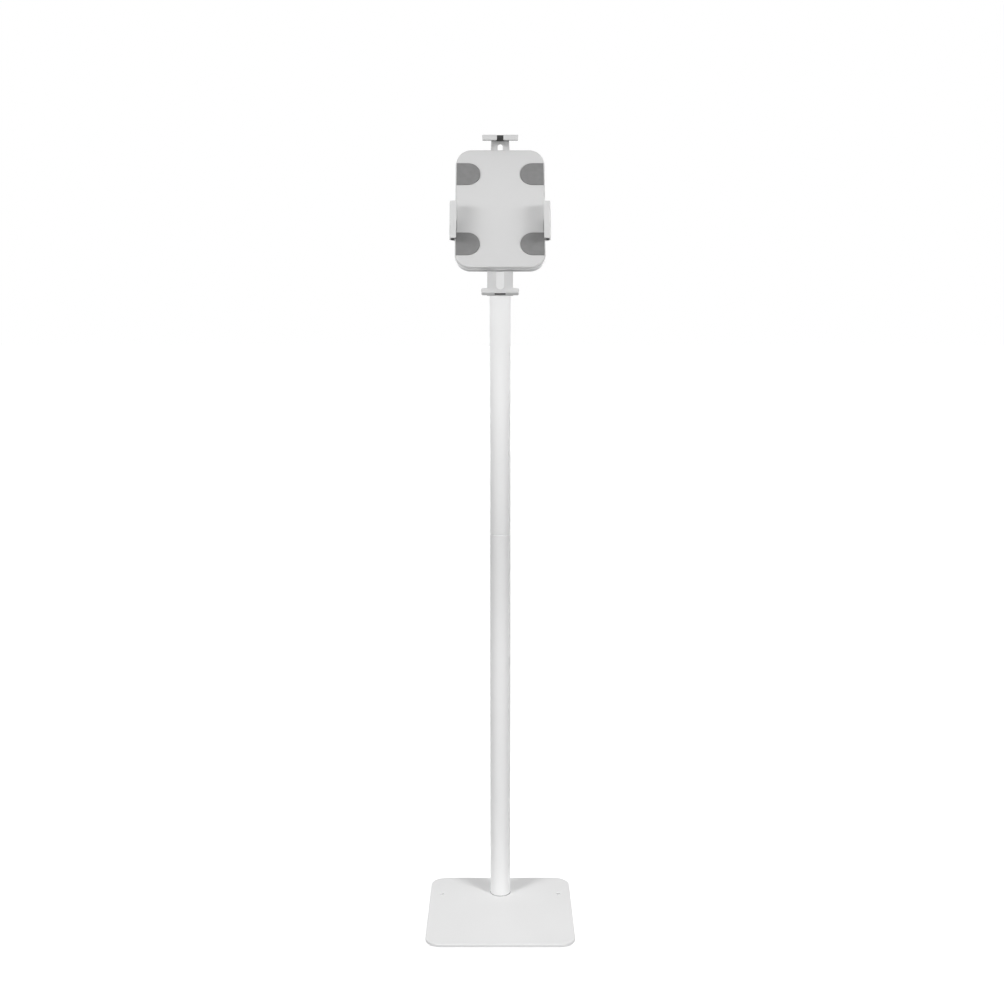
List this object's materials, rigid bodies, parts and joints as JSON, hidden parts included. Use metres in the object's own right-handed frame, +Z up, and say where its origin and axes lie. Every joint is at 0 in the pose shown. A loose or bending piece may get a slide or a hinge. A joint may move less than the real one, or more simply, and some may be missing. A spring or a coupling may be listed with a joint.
{
  "type": "adjustable tablet floor stand",
  "caption": "White floor stand for a tablet: square steel base, straight round pole and a tilting, turning holder with sliding padded clamps on all sides.",
  "frame": {"origin": "on the floor under the centre of the square base", "axes": "+X to the right as seen from the front, +Y to the back, +Z up; the holder faces -Y and leans back"},
  "size_m": [0.22, 0.22, 1.1661],
  "materials": {
    "white_steel": "fine white powder coat",
    "clamp_steel": "fine powder coat, a slightly greyer white",
    "white_plastic": "fine moulded texture, white",
    "grey_rubber": "smooth grey silicone",
    "black_rubber": "matt black rubber",
    "bare_steel": "zinc plated steel",
    "nylon": "natural nylon"
  },
  "bodies": {
    "stand": {"base_plate": "white_steel", "base_feet": "black_rubber", "base_screws": "bare_steel", "pole_gasket": "grey_rubber", "lower_plug": "bare_steel", "lower_tube": "white_steel", "tube_coupler": "bare_steel", "upper_tube": "white_steel", "pole_screws": "bare_steel", "top_plug": "white_steel", "friction_washers": "nylon", "tilt_washers": "bare_steel", "tilt_bolt": "bare_steel", "tilt_nut": "bare_steel"},
    "tilt_head": {"yoke": "white_steel", "swivel_disc": "nylon"},
    "holder": {"swivel_washer": "bare_steel", "swivel_bolt": "bare_steel", "hub_nut": "bare_steel", "chassis": "bare_steel", "front_cover": "white_plastic", "back_cover": "white_plastic", "cover_screws": "bare_steel", "long_lock_screws": "bare_steel", "short_lock_screws": "bare_steel", "face_pad_upper_left": "grey_rubber", "face_pad_upper_right": "grey_rubber", "face_pad_lower_left": "grey_rubber", "face_pad_lower_right": "grey_rubber"},
    "top_slider": {"top_clamp": "clamp_steel", "top_clamp_lining": "black_rubber"},
    "bottom_slider": {"bottom_clamp": "clamp_steel", "bottom_clamp_lining": "black_rubber"},
    "left_slider": {"left_clamp": "clamp_steel", "left_clamp_lining": "black_rubber"},
    "right_slider": {"right_clamp": "clamp_steel", "right_clamp_lining": "black_rubber"}
  },
  "joints": [
    {"name": "tilt", "type": "hinge", "parent": "stand", "child": "tilt_head", "pos_m": [0, 0.0585, 1.04], "axis": [-1, 0, 0], "range_deg": [-27, 55]},
    {"name": "swivel", "type": "hinge", "parent": "tilt_head", "child": "holder", "pos_m": [0, 0.0193, 1.05998], "axis": [0, -0.891, 0.454], "range_deg": [-90, 90]},
    {"name": "top_slide", "type": "slide", "parent": "holder", "child": "top_slider", "axis": [0, 0.454, 0.891], "range_m": [0, 0.081]},
    {"name": "bottom_slide", "type": "slide", "parent": "holder", "child": "bottom_slider", "axis": [0, -0.454, -0.891], "range_m": [-0.024, 0]},
    {"name": "left_slide", "type": "slide", "parent": "holder", "child": "left_slider", "axis": [-1, 0, 0], "range_m": [0, 0.0355]},
    {"name": "right_slide", "type": "slide", "parent": "holder", "child": "right_slider", "axis": [1, 0, 0], "range_m": [0, 0.0355]}
  ]
}
